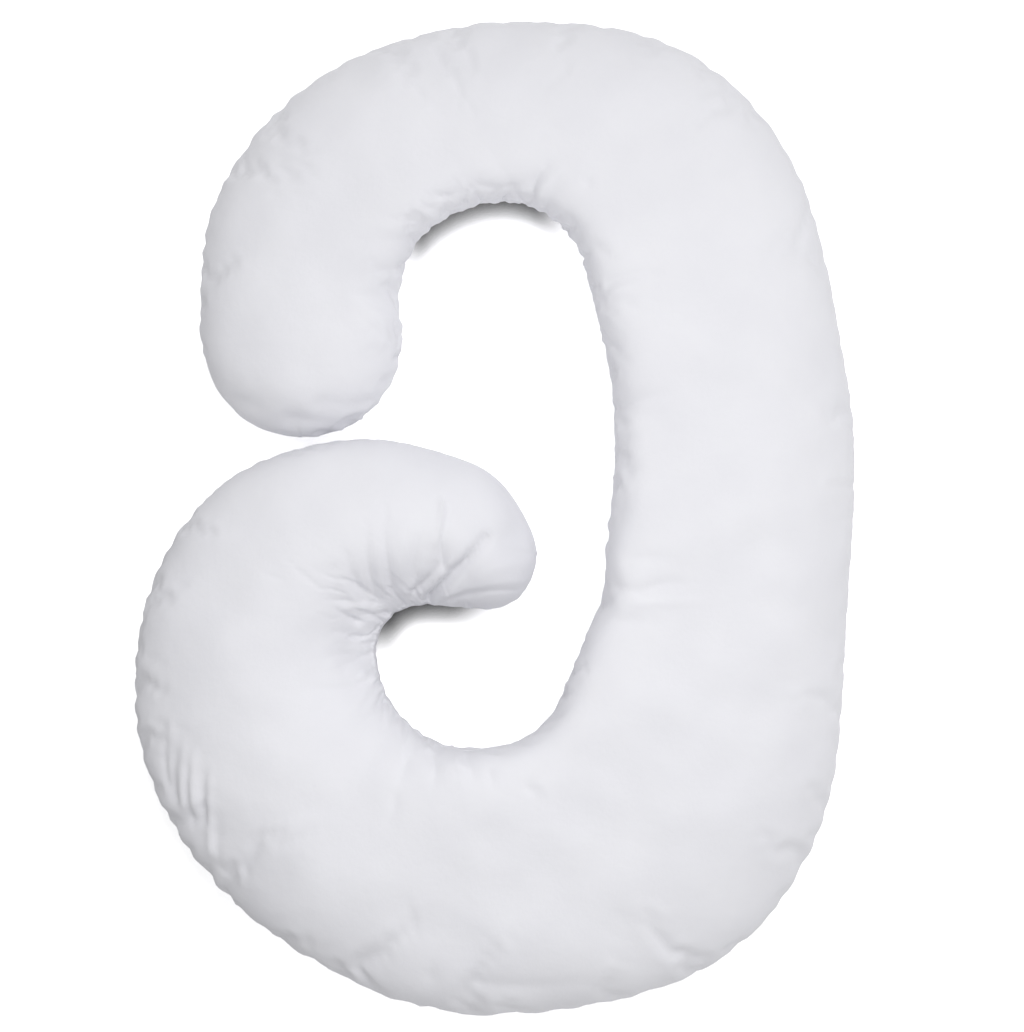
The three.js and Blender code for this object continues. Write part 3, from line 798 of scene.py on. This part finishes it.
def seen_paper():
    """Overexposed white paper, with light from below and the pillow's shade beside the cloth."""
    material = bpy.data.materials.new("seen_paper")
    material.use_nodes = True
    nodes = material.node_tree.nodes
    links = material.node_tree.links
    nodes.remove(nodes["Principled BSDF"])
    place = nodes.new("ShaderNodeTexCoord")
    first, second = (contact_shade(nodes, links, place, **shade) for shade in CONTACT_SHADES)
    kept = times(nodes, links, first, second)
    paper = nodes.new("ShaderNodeBsdfDiffuse")
    links.new(times(nodes, links, kept, PAPER_REFLECTED), paper.inputs["Color"])
    below = nodes.new("ShaderNodeEmission")
    links.new(times(nodes, links, kept, PAPER_GLOW), below.inputs["Strength"])
    both = nodes.new("ShaderNodeAddShader")
    links.new(paper.outputs["BSDF"], both.inputs[0])
    links.new(below.outputs["Emission"], both.inputs[1])
    links.new(both.outputs["Shader"], nodes["Material Output"].inputs["Surface"])
    return material


def bounce_paper():
    """Paper that sends light back up and glows a little, less low on the left and in the hook's hollow."""
    material = bpy.data.materials.new("bounce_paper")
    material.use_nodes = True
    nodes = material.node_tree.nodes
    links = material.node_tree.links
    place = nodes.new("ShaderNodeTexCoord")
    low_left = measured(nodes, links, place, "DOT_PRODUCT", LOW_LEFT["towards"])
    limits = (LOW_LEFT["start"], LOW_LEFT["end"], BOUNCED, LOW_LEFT["bounced"])
    reflected = ranged(nodes, links, low_left, *limits)
    from_hollow = measured(nodes, links, place, "DISTANCE", HOLLOW["middle"])
    kept = ranged(nodes, links, from_hollow, HOLLOW["start"], HOLLOW["end"], HOLLOW["kept"], 1)
    shader = nodes["Principled BSDF"]
    sent_back = times(nodes, links, reflected, kept)
    links.new(sent_back, shader.inputs["Base Color"])
    links.new(sent_back, shader.inputs["Emission Color"])
    shader.inputs["Emission Strength"].default_value = BOUNCE_GLOW
    shader.inputs["Roughness"].default_value = 1
    return material


def floor_plane(name, material, height):
    half = FLOOR_SIZE / 2
    mesh = bpy.data.meshes.new(name)
    corners = [(-half, -half, height), (half, -half, height), (half, half, height), (-half, half, height)]
    mesh.from_pydata(corners, [], [(0, 1, 2, 3)])
    mesh.materials.append(material)
    plane = bpy.data.objects.new(name, mesh)
    bpy.context.collection.objects.link(plane)
    return plane


# The floor: the overexposed paper that the camera sees, and just under it the paper that sends light back up.
FLOOR_SIZE = 12.0
PAPER_REFLECTED = 1.7
PAPER_GLOW = 0.16
PAPER_HEIGHT = -0.0005
BOUNCE_HEIGHT = -0.0010
# How much light comes back up, how much the lower paper glows, and where both are less: low on the left, and
# in the hook's hollow.
BOUNCED = 1.0
BOUNCE_GLOW = 0.10
LOW_LEFT = {"towards": (-0.97, -0.25, 0), "start": 0.38, "end": 0.56, "bounced": 0.35}
HOLLOW = {"middle": (-0.10, -0.17, 0), "start": 0.06, "end": 0.17, "kept": 0.25}


def make_floor():
    seen = floor_plane("floor", seen_paper(), PAPER_HEIGHT)
    seen.visible_diffuse = False
    seen.visible_glossy = False
    seen.visible_shadow = False
    bounce = floor_plane("floor_bounce", bounce_paper(), BOUNCE_HEIGHT)
    bounce.visible_camera = False


# The light: an even pale sky, one far soft lamp high behind the picture's top edge, and one wide lamp over
# the long body.
SKY_LIGHT = 0.57
FAR_STRENGTH = 0.6
FAR_SPREAD = math.radians(20)
FAR_TOWARDS = Vector((0.18, 0.48, 0.86))
FAR_DISTANCE = 4
LAMP_PLACE = (0.28, 0.14, 1.38)
LAMP_RADIUS = 0.45
LAMP_POWER = 17


def make_lights():
    world = bpy.data.worlds.new("studio")
    world.use_nodes = True
    sky = world.node_tree.nodes["Background"]
    sky.inputs["Color"].default_value = (1, 1, 1, 1)
    sky.inputs["Strength"].default_value = SKY_LIGHT
    bpy.context.scene.world = world
    far_light = bpy.data.lights.new("far_lamp", "SUN")
    far_light.energy = FAR_STRENGTH
    far_light.angle = FAR_SPREAD
    far_lamp = bpy.data.objects.new("far_lamp", far_light)
    far_lamp.location = FAR_TOWARDS * FAR_DISTANCE
    far_lamp.rotation_euler = FAR_TOWARDS.to_track_quat("Z", "Y").to_euler()
    bpy.context.collection.objects.link(far_lamp)
    light = bpy.data.lights.new("soft_lamp", "POINT")
    light.energy = LAMP_POWER
    light.shadow_soft_size = LAMP_RADIUS
    light.use_nodes = True
    nodes = light.node_tree.nodes
    falloff = nodes.new("ShaderNodeLightFalloff")
    falloff.inputs["Strength"].default_value = 1
    light.node_tree.links.new(falloff.outputs["Linear"], nodes["Emission"].inputs["Strength"])
    lamp = bpy.data.objects.new("soft_lamp", light)
    lamp.location = LAMP_PLACE
    bpy.context.collection.objects.link(lamp)


# The photo's camera: straight above, with this many millimetres to a pixel at the seam's level.
PICTURE_PIXELS = 1032
PIXEL = 1.4
PICTURE_HEIGHT = PICTURE_PIXELS * PIXEL
SENSOR = 36.0


def make_camera():
    lens = bpy.data.cameras.new("camera")
    lens.sensor_width = SENSOR
    lens.lens = SENSOR * (EYE[2] - SEAM_PLANE) / PICTURE_HEIGHT
    camera = bpy.data.objects.new("camera", lens)
    camera.location = EYE * MM
    bpy.context.collection.objects.link(camera)
    bpy.context.scene.camera = camera


def set_picture():
    settings = bpy.context.scene.view_settings
    settings.view_transform = "Standard"
    settings.look = "None"
    settings.exposure = 0
    settings.gamma = 1


make_camera()
pillow_piece()
make_floor()
make_lights()
set_picture()
